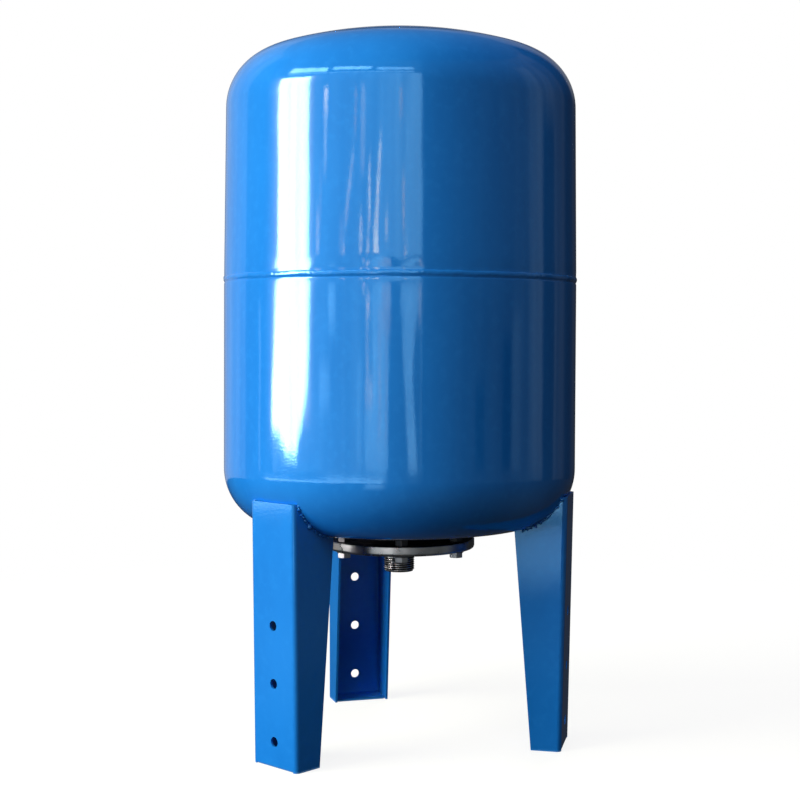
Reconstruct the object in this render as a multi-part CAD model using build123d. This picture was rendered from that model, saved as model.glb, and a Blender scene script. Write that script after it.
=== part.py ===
from build123d import *
from math import acos, asin, cos, degrees, radians, sin, sqrt, tan
import os

os.makedirs("parts", exist_ok=True)

# Well pressure tank on three welded legs, with a replaceable rubber bladder inside.
# Millimetres, Z up, the floor at Z 0 and the tank's axis on Z.

# Tank shells, two deep drawn cups joined at a girth weld
TANK_DIA = 380.0
SHELL_SHEET = 1.5
BOTTOM_TANGENT_Z = 289.5
LOWER_SIDE = 200.5
UPPER_SIDE = 185.3
UPPER_DRAFT = 1.2
LOWER_DRAFT = 0.8
KNUCKLE_R = 62.5
TOP_CROWN_R = 471.0
BOTTOM_CROWN_R = 1000.0
SEAM_BAND = 9.0
LAP_LENGTH = 12.0
LAP_CLEARANCE = 0.1
JOGGLE_HEIGHT = 4.0
SEAM_BEAD_REACH = 1.5
SEAM_BEAD_BULGE = 1.1

# Opening at the bottom with its welded neck ring
NECK_R = 56.0
NECK_FILLET = 3.0
RING_SHEET = 4.0
RING_FIT = 0.1
RING_BEAD = 3.2

# Bolts through flange, bladder lip and neck ring
BOLT_COUNT = 6
BOLT_FROM_NECK = 12.5
FIRST_BOLT_ANGLE = 15.0
BOLT_SHANK_R = 4.0
BOLT_HOLE_R = 4.5
HEX_ACROSS_FLATS = 13.0
BOLT_HEAD_HEIGHT = 5.3
NUT_HEIGHT = 6.5
NUT_THREAD_FIT = 0.05
WASHER_R = 8.0
WASHER_THICKNESS = 1.6
NUT_HEADROOM = 1.3
BOLT_PAST_NUT = 0.6
HEX_CORNER_CUT = 0.7

# Pressed flange with its turned up rim
FLANGE_PAST_BOLTS = 13.0
FLANGE_SHEET = 3.0
FLANGE_RIM_SHEET = 2.6
FLANGE_RIM_HEIGHT = 9.8
FLANGE_BEND_R = 3.2
RIM_GAP = 1.0

# Threaded water connection, one inch pipe size
THREAD_R = 16.62
THREAD_LENGTH = 20.0
THREAD_CHAMFER = 1.8
CONNECTOR_BORE_R = 13.25
CONNECTOR_BODY_R = 17.3
CONNECTOR_NECK = 6.0
CONNECTOR_FIT = 0.1
CONNECTOR_BEAD = 3.4
CONNECTOR_MOUTH_CHAMFER = 0.8

# Rubber bladder
BLADDER_WALL = 2.5
BLADDER_LIP = 3.0
BLADDER_NECK_GAP = 0.7
BLADDER_NECK_LENGTH = 24.0
BLADDER_BELLY_GAP = 24.0
BLADDER_SHOULDER_Z = 330.0
BLADDER_SIDE = 230.0
BLADDER_DOME = 82.0

# Folded sheet legs
LEG_NAMES = ["leg_front", "leg_right", "leg_left"]
FIRST_LEG_ANGLE = 270.0
LEG_SHEET = 2.5
LEG_WIDTH = 64.0
LEG_TOP_Z = 264.0
LEG_TOP_STANDOFF = 2.3
LEG_LEAN = 1.28
LEG_DEPTH_FOOT = 31.5
LEG_DEPTH_TOP = 58.0
LEG_BEND_R = 5.0
LEG_SHELL_GAP = 0.3
LEG_HOLE_R = 5.0
LEG_HOLE_COUNT = 3
LEG_FIRST_HOLE_Z = 26.0
LEG_HOLE_PITCH = 57.75
FOOT_SIDE_GAP = 1.0
FOOT_EDGE_GAP = 3.5
FOOT_BEND_R = 2.4
FOOT_FOLD_R = 2.5
LEG_BEAD_R = 2.7
LEG_BEAD_END_GAP = 11.0
LEG_BEAD_STEPS = 7
LEG_BEAD_SIDES = 8

# Air valve on the top head, square to the dished surface
VALVE_ANGLE = 150.0
VALVE_FROM_AXIS = 80.0
BOSS_R = 12.5
BOSS_SPIGOT_R = 9.0
BOSS_HEIGHT = 5.0
BOSS_SPIGOT_LENGTH = 4.0
BOSS_FIT = 0.1
BOSS_BEAD = 2.6
VALVE_FOOT_R = 4.86
VALVE_FOOT_LENGTH = 8.0
VALVE_THREAD_FIT = 0.05
VALVE_GASKET_R = 6.4
VALVE_GASKET_THICKNESS = 1.0
VALVE_HEX_FLATS = 12.0
VALVE_HEX_HEIGHT = 4.0
STEM_R = 3.87
STEM_LENGTH = 15.0
STEM_PASSAGE_R = 1.75
CORE_CHAMBER_R = 2.6
CORE_CHAMBER_DEPTH = 10.0
CORE_SEAT_LENGTH = 2.0
CORE_FIT = 0.05
CORE_SLEEVE_GAP = 0.15
CORE_SLEEVE_LENGTH = 4.0
CORE_BELOW_MOUTH = 0.5
CORE_WELL_R = 1.35
CORE_WELL_DEPTH = 8.0
PIN_R = 0.55
PIN_FIT = 0.07
PIN_BELOW_MOUTH = 0.3
PIN_COLLAR_R = 1.15
PIN_COLLAR_HEIGHT = 0.5
PIN_COLLAR_BELOW_MOUTH = 3.0
PLUG_R = 1.45
PLUG_SEAL = 1.0
PLUG_CUP = 0.8
SPRING_WIRE_R = 0.14
SPRING_GAP = 0.08
SPRING_TURNS = 4
SPRING_POINTS_PER_TURN = 8
SPRING_WIRE_SIDES = 6
CAP_R = 5.5
CAP_FIT = 0.06
CAP_DEPTH = 11.0
CAP_TOP = 1.6
CAP_SEAL = 1.0
CAP_GRIPS = 12
CAP_GRIP_R = 0.7


leg_turns = [Rot(0, 0, FIRST_LEG_ANGLE + k * 360 / len(LEG_NAMES)) for k in range(len(LEG_NAMES))]


def turned(outline):
    """One closed outline of radius and height turned about Z."""
    return revolve(Plane.XZ * Face(outline), Axis.Z, 360)


def turned_points(*points):
    return turned(Wire.make_polygon([Vector(r, z) for r, z in points], close=True))


def tube(outer_r, inner_r, low, high):
    return turned_points((inner_r, low), (outer_r, low), (outer_r, high), (inner_r, high))


def rod(radius, low, high):
    return Pos(0, 0, low) * Cylinder(radius, high - low, align=(Align.CENTER, Align.CENTER, Align.MIN))


def swept(points, section):
    """A section carried along straight runs with mitred corners."""
    path = Polyline(points)
    start = Plane(origin=points[0], z_dir=Vector(*points[1]) - Vector(*points[0]))
    return sweep(start * section, path, transition=Transition.RIGHT)


def ring_of(count, radius, first_angle, item):
    """Copies of one item evenly round the axis."""
    step = 360 / count
    return [Rot(0, 0, first_angle + k * step) * Pos(radius, 0, 0) * item for k in range(count)]


def save(name, solids):
    solids = solids if isinstance(solids, list) else [solids]
    bodies = [body for item in solids for body in item.solids()]
    shape = bodies[0] if len(bodies) == 1 else Compound(children=bodies)
    shape.label = name
    export_step(shape, f"parts/{name}.step")


def hex_piece(across_flats, low, high, cut_low, cut_high):
    """A hexagon with its corners rounded off at the ends that ask for it."""
    corner = across_flats / sqrt(3)
    drop = HEX_CORNER_CUT * tan(radians(30))
    prism = Pos(0, 0, low) * extrude(RegularPolygon(corner, 6), high - low)
    inset_low = HEX_CORNER_CUT if cut_low else 0
    inset_high = HEX_CORNER_CUT if cut_high else 0
    cone = turned_points(
        (0, low),
        (corner - inset_low, low),
        (corner, low + (drop if cut_low else 0)),
        (corner, high - (drop if cut_high else 0)),
        (corner - inset_high, high),
        (0, high),
    )
    return prism & cone


class Head:
    """A dished end: a knuckle arc that runs into a crown arc, above or below its tangent line."""

    def __init__(self, side_r, tangent_z, crown_r, up):
        self.side_r = side_r
        self.tangent_z = tangent_z
        self.crown_r = crown_r
        self.up = up
        self.knuckle_x = side_r - KNUCKLE_R
        reach = crown_r - KNUCKLE_R
        self.turn = acos(self.knuckle_x / reach)
        self.crown_z = tangent_z - up * sqrt(reach**2 - self.knuckle_x**2)

    def knuckle_point(self, angle, inset):
        r = KNUCKLE_R - inset
        return (self.knuckle_x + r * cos(angle), self.tangent_z + self.up * r * sin(angle))

    def crown_point(self, angle, inset):
        r = self.crown_r - inset
        return (r * cos(angle), self.crown_z + self.up * r * sin(angle))

    def surface_z(self, radius):
        """Height of the outside of the crown at a distance from the axis."""
        return self.crown_z + self.up * sqrt(self.crown_r**2 - radius**2)

    def knuckle_edge(self, inset):
        points = [self.knuckle_point(self.turn * k, inset) for k in (0, 0.5, 1)]
        return ThreePointArc(*points)

    def crown_edge(self, inset, end):
        """From the knuckle to the point where the crown stops."""
        start = self.crown_point(self.turn, inset)
        stop = acos(end[0] / (self.crown_r - inset))
        middle = self.crown_point((self.turn + stop) / 2, inset)
        return ThreePointArc(start, middle, end)

    def outside_r(self, z):
        """Radius of the outside of the knuckle or crown at a height."""
        knuckle_end = self.knuckle_point(self.turn, 0)[1]
        if (z - knuckle_end) * self.up <= 0:
            return self.knuckle_x + sqrt(KNUCKLE_R**2 - (z - self.tangent_z) ** 2)
        return sqrt(self.crown_r**2 - (z - self.crown_z) ** 2)


tank_r = TANK_DIA / 2
seam_z = BOTTOM_TANGENT_Z + LOWER_SIDE
top_head = Head(tank_r - UPPER_DRAFT, seam_z + UPPER_SIDE, TOP_CROWN_R, 1)
bottom_head = Head(tank_r - LOWER_DRAFT, BOTTOM_TANGENT_Z, BOTTOM_CROWN_R, -1)

# Heights of the bolted stack, from the underside of the bottom head down
bolt_r = NECK_R + BOLT_FROM_NECK
nut_inner_reach = bolt_r - HEX_ACROSS_FLATS / sqrt(3)
ring_top = bottom_head.surface_z(nut_inner_reach) - NUT_HEADROOM - NUT_HEIGHT
lip_top = ring_top - RING_SHEET
flange_top = lip_top - BLADDER_LIP
flange_low = flange_top - FLANGE_SHEET
flange_r = bolt_r + FLANGE_PAST_BOLTS
rim_inner_r = flange_r - FLANGE_RIM_SHEET
ring_r = rim_inner_r - RIM_GAP


def upper_outline(inset):
    """Inside or outside of the upper cup from its open edge to the top."""
    apex = (0, top_head.crown_z + TOP_CROWN_R - inset)
    edge = (tank_r - inset, seam_z)
    band = (tank_r - inset, seam_z + SEAM_BAND)
    side = top_head.knuckle_point(0, inset)
    return [
        Line(edge, band),
        Line(band, side),
        top_head.knuckle_edge(inset),
        top_head.crown_edge(inset, apex),
    ]


def make_upper_shell():
    outside = upper_outline(0)
    inside = upper_outline(SHELL_SHEET)
    rim = Line((tank_r - SHELL_SHEET, seam_z), (tank_r, seam_z))
    apex_z = top_head.crown_z + TOP_CROWN_R
    axis = Line((0, apex_z), (0, apex_z - SHELL_SHEET))
    return turned(Wire(outside + [axis] + inside + [rim]))


def lower_outline(inset):
    """Inside or outside of the lower cup from the lap to the foot of the neck."""
    lap_r = tank_r - SHELL_SHEET - LAP_CLEARANCE - inset
    lap_top = (lap_r, seam_z + LAP_LENGTH)
    lap_foot = (lap_r, seam_z)
    joggle = (tank_r - inset, seam_z - JOGGLE_HEIGHT)
    band = (tank_r - inset, seam_z - SEAM_BAND)
    side = bottom_head.knuckle_point(0, inset)
    centre_r = NECK_R + NECK_FILLET
    reach = BOTTOM_CROWN_R + NECK_FILLET
    centre_z = bottom_head.crown_z - sqrt(reach**2 - centre_r**2)
    share = (BOTTOM_CROWN_R - inset) / reach
    crown_end = (centre_r * share, bottom_head.crown_z - (bottom_head.crown_z - centre_z) * share)
    bend_r = NECK_FILLET + inset
    bend_end = (centre_r - bend_r, centre_z)
    bend_mid = (centre_r - bend_r * sin(radians(45)), centre_z + bend_r * cos(radians(45)))
    foot = (NECK_R - inset, lip_top)
    return [
        Line(lap_top, lap_foot),
        Line(lap_foot, joggle),
        Line(joggle, band),
        Line(band, side),
        bottom_head.knuckle_edge(inset),
        bottom_head.crown_edge(inset, crown_end),
        ThreePointArc(crown_end, bend_mid, bend_end),
        Line(bend_end, foot),
    ]


def make_lower_shell():
    outside = lower_outline(0)
    inside = lower_outline(SHELL_SHEET)
    lap_r = tank_r - SHELL_SHEET - LAP_CLEARANCE
    lap_z = seam_z + LAP_LENGTH
    lap_edge = Line((lap_r, lap_z), (lap_r - SHELL_SHEET, lap_z))
    neck_edge = Line((NECK_R, lip_top), (NECK_R - SHELL_SHEET, lip_top))
    return turned(Wire(outside + [neck_edge] + inside + [lap_edge]))


def make_girth_weld():
    lap_r = tank_r - SHELL_SHEET - LAP_CLEARANCE
    high = (tank_r, seam_z + SEAM_BEAD_REACH)
    low = (tank_r, seam_z - JOGGLE_HEIGHT - SEAM_BEAD_REACH)
    crest = (tank_r + SEAM_BEAD_BULGE, (high[1] + low[1]) / 2)
    edges = [
        ThreePointArc(high, crest, low),
        Line(low, (tank_r, seam_z - JOGGLE_HEIGHT)),
        Line((tank_r, seam_z - JOGGLE_HEIGHT), (lap_r, seam_z)),
        Line((lap_r, seam_z), (tank_r, seam_z)),
        Line((tank_r, seam_z), high),
    ]
    return turned(Wire(edges))


def bolt_holes(low, high):
    return ring_of(BOLT_COUNT, bolt_r, FIRST_BOLT_ANGLE, rod(BOLT_HOLE_R, low, high))


def make_neck_ring():
    return tube(ring_r, NECK_R + RING_FIT, lip_top, ring_top) - bolt_holes(lip_top, ring_top)


def make_neck_weld():
    return turned_points(
        (NECK_R, ring_top),
        (NECK_R + RING_BEAD, ring_top),
        (NECK_R, ring_top + RING_BEAD),
    )


def make_flange():
    low_bend = (flange_r - FLANGE_BEND_R, flange_low)
    side_bend = (flange_r, flange_low + FLANGE_BEND_R)
    turn = FLANGE_BEND_R * (1 - cos(radians(45)))
    bend_mid = (flange_r - turn, flange_low + turn)
    inner_r = FLANGE_BEND_R - FLANGE_RIM_SHEET
    rim_top = flange_low + FLANGE_RIM_HEIGHT
    hole_r = CONNECTOR_BODY_R + CONNECTOR_FIT
    edges = [
        Line((hole_r, flange_low), low_bend),
        ThreePointArc(low_bend, bend_mid, side_bend),
        Line(side_bend, (flange_r, rim_top)),
        Line((flange_r, rim_top), (rim_inner_r, rim_top)),
        Line((rim_inner_r, rim_top), (rim_inner_r, flange_top + inner_r)),
        Line((rim_inner_r, flange_top + inner_r), (rim_inner_r - inner_r, flange_top)),
        Line((rim_inner_r - inner_r, flange_top), (hole_r, flange_top)),
        Line((hole_r, flange_top), (hole_r, flange_low)),
    ]
    return turned(Wire(edges)) - bolt_holes(flange_low, flange_top)


def make_connector():
    shoulder_z = flange_low - CONNECTOR_NECK
    mouth_z = shoulder_z - THREAD_LENGTH
    return turned_points(
        (CONNECTOR_BORE_R + CONNECTOR_MOUTH_CHAMFER, mouth_z),
        (THREAD_R - THREAD_CHAMFER, mouth_z),
        (THREAD_R, mouth_z + THREAD_CHAMFER),
        (THREAD_R, shoulder_z),
        (CONNECTOR_BODY_R, shoulder_z),
        (CONNECTOR_BODY_R, flange_top),
        (CONNECTOR_BORE_R, flange_top),
        (CONNECTOR_BORE_R, mouth_z + CONNECTOR_MOUTH_CHAMFER),
    )


def make_connector_weld():
    return turned_points(
        (CONNECTOR_BODY_R, flange_low),
        (CONNECTOR_BODY_R, flange_low - CONNECTOR_BEAD),
        (CONNECTOR_BODY_R + CONNECTOR_BEAD, flange_low),
    )


def bladder_outline(inset):
    """Inside or outside of the bag from its mouth to its top."""
    neck_r = NECK_R - SHELL_SHEET - BLADDER_NECK_GAP - inset
    belly_r = tank_r - SHELL_SHEET - BLADDER_BELLY_GAP - inset
    neck_top = (neck_r, lip_top + BLADDER_NECK_LENGTH)
    belly_low = (belly_r, BLADDER_SHOULDER_Z)
    belly_high = (belly_r, BLADDER_SHOULDER_Z + BLADDER_SIDE)
    apex = (0, belly_high[1] + BLADDER_DOME - inset)
    return [
        Spline([neck_top, belly_low], tangents=[(1, 0.4), (0, 1)]),
        Line(belly_low, belly_high),
        Spline([belly_high, apex], tangents=[(0, 1), (-1, 0)]),
    ]


def make_bladder():
    outside = bladder_outline(0)
    inside = bladder_outline(BLADDER_WALL)
    neck_r = NECK_R - SHELL_SHEET - BLADDER_NECK_GAP
    mouth_r = neck_r - BLADDER_WALL
    neck_top = lip_top + BLADDER_NECK_LENGTH
    apex = BLADDER_SHOULDER_Z + BLADDER_SIDE + BLADDER_DOME
    edges = [
        Line((mouth_r, neck_top), (mouth_r, flange_top)),
        Line((mouth_r, flange_top), (ring_r, flange_top)),
        Line((ring_r, flange_top), (ring_r, lip_top)),
        Line((ring_r, lip_top), (neck_r, lip_top)),
        Line((neck_r, lip_top), (neck_r, neck_top)),
        Line((0, apex), (0, apex - BLADDER_WALL)),
    ]
    return turned(Wire(outside + inside + edges)) - bolt_holes(flange_top, lip_top)


def make_bolt():
    head_top = flange_low - WASHER_THICKNESS
    head = hex_piece(HEX_ACROSS_FLATS, head_top - BOLT_HEAD_HEIGHT, head_top, True, False)
    return head + rod(BOLT_SHANK_R, head_top, ring_top + NUT_HEIGHT + BOLT_PAST_NUT)


def make_washer():
    return tube(WASHER_R, BOLT_HOLE_R, flange_low - WASHER_THICKNESS, flange_low)


def make_nut():
    top = ring_top + NUT_HEIGHT
    return hex_piece(HEX_ACROSS_FLATS, ring_top, top, True, True) - rod(
        BOLT_SHANK_R + NUT_THREAD_FIT, ring_top, top
    )


leg_lean = tan(radians(LEG_LEAN))
leg_half = LEG_WIDTH / 2
leg_face_top = bottom_head.outside_r(LEG_TOP_Z) + LEG_TOP_STANDOFF


def leg_face(z):
    """Distance of the web's outer face from the axis at a height."""
    return leg_face_top - (LEG_TOP_Z - z) * leg_lean


def leg_depth(z):
    return LEG_DEPTH_FOOT + (LEG_DEPTH_TOP - LEG_DEPTH_FOOT) * z / LEG_TOP_Z


def leg_block(inset, depth_extra, bend_r):
    """The channel's outer or inner body, seen along X from the foot to the top."""
    side = [
        (leg_face(0) - inset, 0),
        (leg_face(LEG_TOP_Z) - inset, LEG_TOP_Z),
        (leg_face(LEG_TOP_Z) - leg_depth(LEG_TOP_Z) - depth_extra, LEG_TOP_Z),
        (leg_face(0) - leg_depth(0) - depth_extra, 0),
    ]
    outline = Wire.make_polygon([Vector(r, z) for r, z in side], close=True)
    block = extrude(Plane.XZ * Face(outline), leg_half - inset, both=True)
    bends = block.edges().filter_by(Axis.Y, reverse=True).sort_by(Axis.X)[-2:]
    return fillet(bends, bend_r)


def make_foot():
    """The sheet folded in under the web that stands on the floor."""
    depth = leg_depth(0) - FOOT_EDGE_GAP
    width = LEG_WIDTH - 2 * (LEG_SHEET + FOOT_SIDE_GAP)
    into_web = LEG_SHEET / 2
    inner_edge = leg_face(0) - depth
    web_inside = leg_face(0) - LEG_SHEET
    plate_length = web_inside + into_web - inner_edge
    plate = Pos(inner_edge + plate_length / 2, 0, LEG_SHEET / 2) * Box(plate_length, width, LEG_SHEET)
    fold = Wire.make_polygon(
        [
            Vector(web_inside - FOOT_FOLD_R, LEG_SHEET),
            Vector(web_inside + into_web, LEG_SHEET),
            Vector(web_inside + into_web, LEG_SHEET + FOOT_FOLD_R),
        ],
        close=True,
    )
    return plate + extrude(Plane.XZ * Face(fold), width / 2, both=True)


def foot_bend_cut():
    """What the fold takes off the web's lower edge."""
    width = LEG_WIDTH - 2 * LEG_BEND_R
    corner = leg_face(0)
    square = Pos(corner, 0, 0) * Box(2 * FOOT_BEND_R, width, 2 * FOOT_BEND_R)
    along_y = Rot(90, 0, 0) * Cylinder(FOOT_BEND_R, width)
    return square - Pos(corner - FOOT_BEND_R, 0, FOOT_BEND_R) * along_y


def leg_hole_heights():
    return [LEG_FIRST_HOLE_Z + k * LEG_HOLE_PITCH for k in range(LEG_HOLE_COUNT)]


def tank_bulk(grow):
    """The lower half of the tank as a solid lump, to trim what is fitted to it."""
    apex = (0, bottom_head.crown_z - BOTTOM_CROWN_R - grow)
    side = bottom_head.knuckle_point(0, -grow)
    band = (tank_r + grow, seam_z - SEAM_BAND)
    edges = [
        Line((0, seam_z - SEAM_BAND), band),
        Line(band, side),
        bottom_head.knuckle_edge(-grow),
        bottom_head.crown_edge(-grow, apex),
        Line(apex, (0, seam_z - SEAM_BAND)),
    ]
    return turned(Wire(edges))


def make_leg():
    """One leg standing in the X direction."""
    channel = leg_block(0, 0, LEG_BEND_R) - leg_block(LEG_SHEET, LEG_SHEET, LEG_BEND_R - LEG_SHEET)
    channel += make_foot()
    channel -= foot_bend_cut()
    drill = Rot(0, 90, 0) * Cylinder(LEG_HOLE_R, LEG_DEPTH_FOOT)
    for z in leg_hole_heights():
        channel -= Pos(leg_face(z), 0, z) * drill
    return channel - tank_bulk(LEG_SHELL_GAP)


def make_leg_bead(side, leg):
    """A weld run between one side wall of the leg and the tank."""
    inner_end = leg_face(LEG_TOP_Z) - LEG_DEPTH_TOP + LEG_BEAD_END_GAP
    inner_r = sqrt(inner_end**2 + leg_half**2)
    first = acos((inner_r - bottom_head.knuckle_x) / KNUCKLE_R)
    last = asin((BOTTOM_TANGENT_Z - LEG_TOP_Z + LEG_BEAD_R) / KNUCKLE_R)
    points = []
    for k in range(LEG_BEAD_STEPS + 1):
        r, z = bottom_head.knuckle_point(first + (last - first) * k / LEG_BEAD_STEPS, 0)
        points.append((sqrt(r**2 - leg_half**2), side * leg_half, z))
    bead = swept(points, RegularPolygon(LEG_BEAD_R, LEG_BEAD_SIDES))
    return bead - tank_bulk(0) - leg


def on_top_head(item):
    """Places a piece built upright at the origin square on the top head's outside."""
    tilt = degrees(asin(VALVE_FROM_AXIS / TOP_CROWN_R))
    square_to_dome = Rot(0, 0, VALVE_ANGLE) * Rot(0, tilt, 0) * Pos(0, 0, TOP_CROWN_R)
    return Pos(0, 0, top_head.crown_z) * square_to_dome * item


# Heights along the valve, from the dished surface out
boss_low = sqrt(TOP_CROWN_R**2 - BOSS_SPIGOT_R**2) - TOP_CROWN_R
boss_top = boss_low + BOSS_HEIGHT
hex_low = boss_top + VALVE_GASKET_THICKNESS
hex_top = hex_low + VALVE_HEX_HEIGHT
mouth = hex_top + STEM_LENGTH
chamber_low = mouth - CORE_CHAMBER_DEPTH
seat_low = chamber_low - CORE_SEAT_LENGTH
core_top = mouth - CORE_BELOW_MOUTH
well_low = core_top - CORE_WELL_DEPTH
core_low = seat_low - CORE_SLEEVE_LENGTH
collar_low = mouth - PIN_COLLAR_BELOW_MOUTH
foot_low = hex_low - VALVE_FOOT_LENGTH


def make_boss():
    hole_r = VALVE_FOOT_R + VALVE_THREAD_FIT
    low = boss_low - BOSS_SPIGOT_LENGTH
    return turned_points(
        (hole_r, low),
        (BOSS_SPIGOT_R, low),
        (BOSS_SPIGOT_R, boss_low),
        (BOSS_R, boss_low),
        (BOSS_R, boss_top),
        (hole_r, boss_top),
    )


def make_boss_weld():
    """A fillet round the boss, trimmed where the dished sheet falls away."""
    bead_r = BOSS_R + BOSS_BEAD
    skirt_low = boss_low - TOP_CROWN_R + sqrt(TOP_CROWN_R**2 - bead_r**2)
    ring = turned_points(
        (BOSS_R, skirt_low),
        (bead_r, skirt_low),
        (BOSS_R, boss_low + BOSS_BEAD),
    )
    return ring - Pos(0, 0, -TOP_CROWN_R) * Sphere(TOP_CROWN_R)


def make_valve_gasket():
    return tube(VALVE_GASKET_R, VALVE_FOOT_R + VALVE_THREAD_FIT, boss_top, hex_low)


def make_stem():
    body = rod(VALVE_FOOT_R, foot_low, hex_low) + hex_piece(VALVE_HEX_FLATS, hex_low, hex_top, False, True)
    body += rod(STEM_R, hex_top, mouth)
    passage = turned_points(
        (0, foot_low),
        (STEM_PASSAGE_R, foot_low),
        (STEM_PASSAGE_R, seat_low),
        (CORE_CHAMBER_R, chamber_low),
        (CORE_CHAMBER_R, mouth),
        (0, mouth),
    )
    return body - passage


def make_core_body():
    sleeve_r = STEM_PASSAGE_R - CORE_SLEEVE_GAP
    head_r = CORE_CHAMBER_R - CORE_FIT
    pin_hole = PIN_R + PIN_FIT
    return turned_points(
        (pin_hole, core_low),
        (sleeve_r, core_low),
        (sleeve_r, chamber_low),
        (head_r, chamber_low),
        (head_r, core_top),
        (CORE_WELL_R, core_top),
        (CORE_WELL_R, well_low),
        (pin_hole, well_low),
    )


def make_core_seal():
    sleeve_r = STEM_PASSAGE_R - CORE_SLEEVE_GAP
    return turned_points(
        (sleeve_r, seat_low),
        (STEM_PASSAGE_R, seat_low),
        (CORE_CHAMBER_R, chamber_low),
        (sleeve_r, chamber_low),
    )


def make_pin():
    top = mouth - PIN_BELOW_MOUTH
    collar_top = collar_low + PIN_COLLAR_HEIGHT
    cup_top = core_low - PLUG_SEAL
    cup_low = cup_top - PLUG_CUP
    return turned_points(
        (0, cup_low),
        (PLUG_R, cup_low),
        (PLUG_R, cup_top),
        (PIN_R, cup_top),
        (PIN_R, collar_low),
        (PIN_COLLAR_R, collar_low),
        (PIN_COLLAR_R, collar_top),
        (PIN_R, collar_top),
        (PIN_R, top),
        (0, top),
    )


def make_pin_seal():
    return tube(PLUG_R, PIN_R, core_low - PLUG_SEAL, core_low)


def make_spring():
    """The closing spring between the floor of the core and the pin's collar."""
    coil_r = CORE_WELL_R - SPRING_GAP - SPRING_WIRE_R
    low = well_low + SPRING_WIRE_R
    rise = collar_low - SPRING_WIRE_R - low
    steps = SPRING_TURNS * SPRING_POINTS_PER_TURN
    points = []
    for k in range(steps + 1):
        angle = radians(360 / SPRING_POINTS_PER_TURN * k)
        points.append((coil_r * cos(angle), coil_r * sin(angle), low + rise * k / steps))
    return swept(points, RegularPolygon(SPRING_WIRE_R, SPRING_WIRE_SIDES))


def make_cap():
    inner_r = STEM_R + CAP_FIT
    seal_top = mouth + CAP_SEAL
    top = seal_top + CAP_TOP
    low = mouth - CAP_DEPTH
    edge_cut = CAP_TOP / 2
    shell = turned_points(
        (inner_r, low),
        (CAP_R, low),
        (CAP_R, top - edge_cut),
        (CAP_R - edge_cut, top),
        (0, top),
        (0, seal_top),
        (inner_r, seal_top),
    )
    grooves = ring_of(CAP_GRIPS, CAP_R + CAP_GRIP_R / 2, 0, rod(CAP_GRIP_R, low, mouth))
    return shell - grooves


def make_cap_seal():
    return rod(STEM_R, mouth, mouth + CAP_SEAL)


boss_hole = on_top_head(rod(BOSS_SPIGOT_R + BOSS_FIT, -2 * BOSS_SPIGOT_LENGTH, BOSS_SPIGOT_LENGTH))
leg = make_leg()
beads = [make_leg_bead(side, leg) for side in (-1, 1)]

save("upper_shell", make_upper_shell() - boss_hole)
save("lower_shell", make_lower_shell())
save("girth_weld", make_girth_weld())
save("neck_ring", make_neck_ring())
save("neck_weld", make_neck_weld())
save("bottom_flange", make_flange())
save("water_connector", make_connector())
save("connector_weld", make_connector_weld())
save("bladder", make_bladder())
save("flange_bolts", ring_of(BOLT_COUNT, bolt_r, FIRST_BOLT_ANGLE, make_bolt()))
save("flange_washers", ring_of(BOLT_COUNT, bolt_r, FIRST_BOLT_ANGLE, make_washer()))
save("flange_nuts", ring_of(BOLT_COUNT, bolt_r, FIRST_BOLT_ANGLE, make_nut()))
for name, turn in zip(LEG_NAMES, leg_turns):
    save(name, turn * leg)
save("leg_welds", [turn * bead for turn in leg_turns for bead in beads])
save("valve_boss", on_top_head(make_boss()))
save("boss_weld", on_top_head(make_boss_weld()))
save("valve_gasket", on_top_head(make_valve_gasket()))
save("valve_stem", on_top_head(make_stem()))
save("core_body", on_top_head(make_core_body()))
save("core_seal", on_top_head(make_core_seal()))
save("valve_pin", on_top_head(make_pin()))
save("pin_seal", on_top_head(make_pin_seal()))
save("core_spring", on_top_head(make_spring()))
save("valve_cap", on_top_head(make_cap()))
save("cap_seal", on_top_head(make_cap_seal()))
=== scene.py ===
import random
from math import acos, asin, atan2, cos, degrees, pi, radians, sin, sqrt

import bmesh
import bpy
from mathutils import Matrix, Vector, noise


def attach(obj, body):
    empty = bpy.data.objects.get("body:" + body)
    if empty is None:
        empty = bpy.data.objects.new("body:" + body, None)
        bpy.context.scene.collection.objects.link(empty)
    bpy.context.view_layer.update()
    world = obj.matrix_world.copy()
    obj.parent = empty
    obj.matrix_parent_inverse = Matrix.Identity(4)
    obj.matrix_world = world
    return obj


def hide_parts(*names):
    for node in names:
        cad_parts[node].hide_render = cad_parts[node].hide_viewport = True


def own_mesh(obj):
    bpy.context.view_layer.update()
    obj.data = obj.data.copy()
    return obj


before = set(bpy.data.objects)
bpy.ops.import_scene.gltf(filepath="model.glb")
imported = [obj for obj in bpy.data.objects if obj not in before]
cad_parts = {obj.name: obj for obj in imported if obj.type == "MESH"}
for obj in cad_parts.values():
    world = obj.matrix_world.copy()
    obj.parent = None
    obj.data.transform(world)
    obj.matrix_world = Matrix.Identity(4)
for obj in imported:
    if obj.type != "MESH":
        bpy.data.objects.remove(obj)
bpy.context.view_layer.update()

MM = 0.001

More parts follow.
